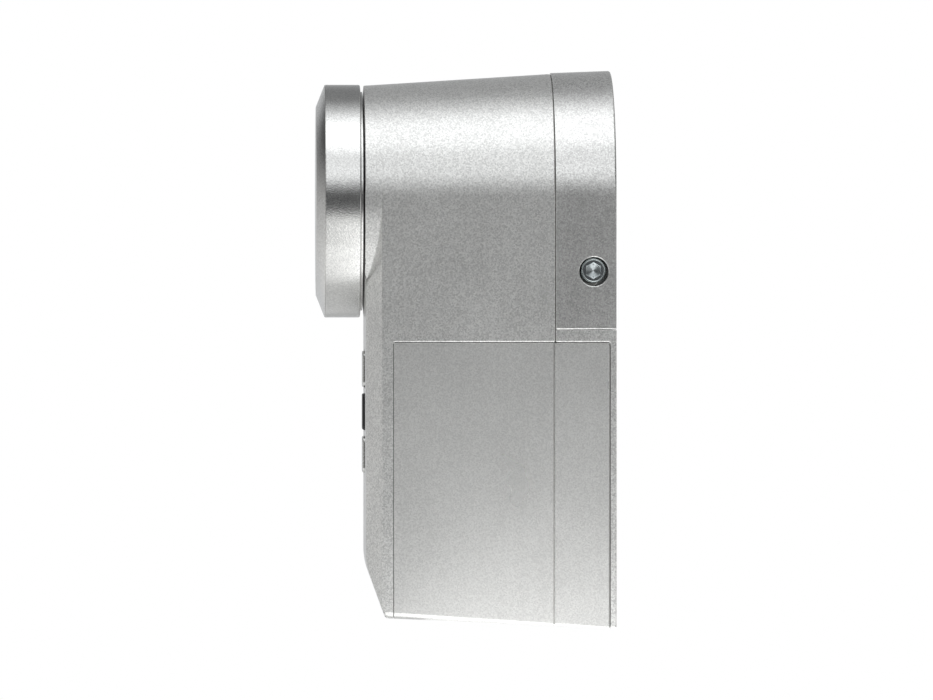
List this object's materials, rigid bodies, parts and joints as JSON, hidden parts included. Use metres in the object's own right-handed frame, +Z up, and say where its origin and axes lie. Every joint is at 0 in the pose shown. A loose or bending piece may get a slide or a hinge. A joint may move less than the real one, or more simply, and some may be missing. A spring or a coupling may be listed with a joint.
{
  "type": "motorised door lock drive",
  "caption": "Battery-powered door-lock drive with a round turning knob, push buttons and a clamp screw that grips a euro-profile lock cylinder.",
  "frame": {"origin": "where the axis of the lock cylinder and knob meets the plane of the door", "axes": "+Z up, +Y into the door along the lock cylinder, the knob faces -Y, the battery cover and clamp screw are on +X"},
  "size_m": [0.0624, 0.0699, 0.1314],
  "materials": {
    "silver_plastic": "moulded plastic under silver metallic paint with a fine sparkle",
    "silver_casting": "zinc casting under the same silver metallic paint",
    "satin_aluminium": "satin silver",
    "button_silver": "satin silver paint",
    "button_black": "satin black",
    "zinc_steel": "bright zinc plate",
    "dark_steel": "dark steel",
    "bronze": "sintered bronze",
    "white_plastic": "natural acetal",
    "grey_plastic": "glass-filled nylon",
    "black_plastic": "moulded, fine texture",
    "circuit_board": "solder mask",
    "cell_jacket": "printed film jacket, plain",
    "foam": "open-cell foam"
  },
  "bodies": {
    "housing": {"front_shell": "silver_plastic", "clamp_housing": "silver_casting", "rear_frame": "silver_plastic", "housing_screw_1": "dark_steel", "housing_screw_2": "dark_steel", "housing_screw_3": "dark_steel", "housing_screw_4": "dark_steel", "knob_bush": "bronze", "rotor_bush": "bronze", "gear_plate_rear": "zinc_steel", "gear_plate_front": "zinc_steel", "gear_post_1": "dark_steel", "gear_post_2": "dark_steel", "gear_post_3": "dark_steel", "axle_a": "dark_steel", "axle_b": "dark_steel", "motor": "zinc_steel", "tact_switch_1": "black_plastic", "tact_switch_2": "black_plastic", "tact_switch_3": "black_plastic", "main_board": "circuit_board", "radio_module": "zinc_steel", "antenna": "black_plastic", "position_sensor": "black_plastic", "buzzer": "black_plastic", "capacitor": "black_plastic", "battery_tray": "black_plastic", "battery_cell_1": "cell_jacket", "battery_cell_2": "cell_jacket", "battery_cell_3": "cell_jacket", "cell_spring_1": "zinc_steel", "cell_spring_2": "zinc_steel", "cell_spring_3": "zinc_steel", "contact_top_pair": "zinc_steel", "contact_top_end": "zinc_steel", "contact_low_end": "zinc_steel", "contact_low_pair": "zinc_steel"},
    "knob": {"knob_cap": "satin_aluminium", "knob_collar": "satin_aluminium", "knob_hub": "black_plastic", "knob_screw": "dark_steel", "knob_spindle": "dark_steel", "key_rotor": "grey_plastic", "output_gear": "white_plastic", "encoder_magnet": "dark_steel"},
    "gear_b": {"gear_b": "white_plastic"},
    "gear_a": {"gear_a": "white_plastic"},
    "motor_rotor": {"motor_shaft": "dark_steel", "motor_pinion": "bronze"},
    "button_top": {"button_1": "button_silver"},
    "button_middle": {"button_2": "button_black"},
    "button_low": {"button_3": "button_silver"},
    "cover": {"battery_cover": "silver_plastic", "cover_pad": "foam"},
    "clamp_screw": {"clamp_screw": "zinc_steel"}
  },
  "joints": [
    {"name": "knob_turn", "type": "hinge", "parent": "housing", "child": "knob", "pos_m": [0, 0, 0], "axis": [0, 1, 0], "continuous": true},
    {"name": "gear_b_turn", "type": "hinge", "parent": "housing", "child": "gear_b", "pos_m": [-0.00903, 0, -0.02481], "axis": [0, 1, 0], "continuous": true},
    {"name": "gear_a_turn", "type": "hinge", "parent": "housing", "child": "gear_a", "pos_m": [-0.01461, 0, -0.03677], "axis": [0, 1, 0], "continuous": true},
    {"name": "motor_turn", "type": "hinge", "parent": "housing", "child": "motor_rotor", "pos_m": [-0.01621, 0, -0.04816], "axis": [0, 1, 0], "continuous": true},
    {"name": "button_top_press", "type": "slide", "parent": "housing", "child": "button_top", "axis": [0, 1, 0], "range_m": [0, 0.0006], "stiffness_N_per_m": 800},
    {"name": "button_middle_press", "type": "slide", "parent": "housing", "child": "button_middle", "axis": [0, 1, 0], "range_m": [0, 0.0006], "stiffness_N_per_m": 800},
    {"name": "button_low_press", "type": "slide", "parent": "housing", "child": "button_low", "axis": [0, 1, 0], "range_m": [0, 0.0006], "stiffness_N_per_m": 800},
    {"name": "cover_slide", "type": "slide", "parent": "housing", "child": "cover", "axis": [0, 0, -1], "range_m": [0, 0.068]},
    {"name": "clamp_screw_turn", "type": "hinge", "parent": "housing", "child": "clamp_screw", "pos_m": [0.02, -0.0054, -0.01665], "axis": [1, 0, 0], "range_deg": [0, 720]}
  ],
  "couplings": [
    {"joint": "gear_b_turn", "follows": "knob_turn", "ratio": -4.5},
    {"joint": "gear_a_turn", "follows": "knob_turn", "ratio": 12},
    {"joint": "motor_turn", "follows": "knob_turn", "ratio": -43.2}
  ]
}
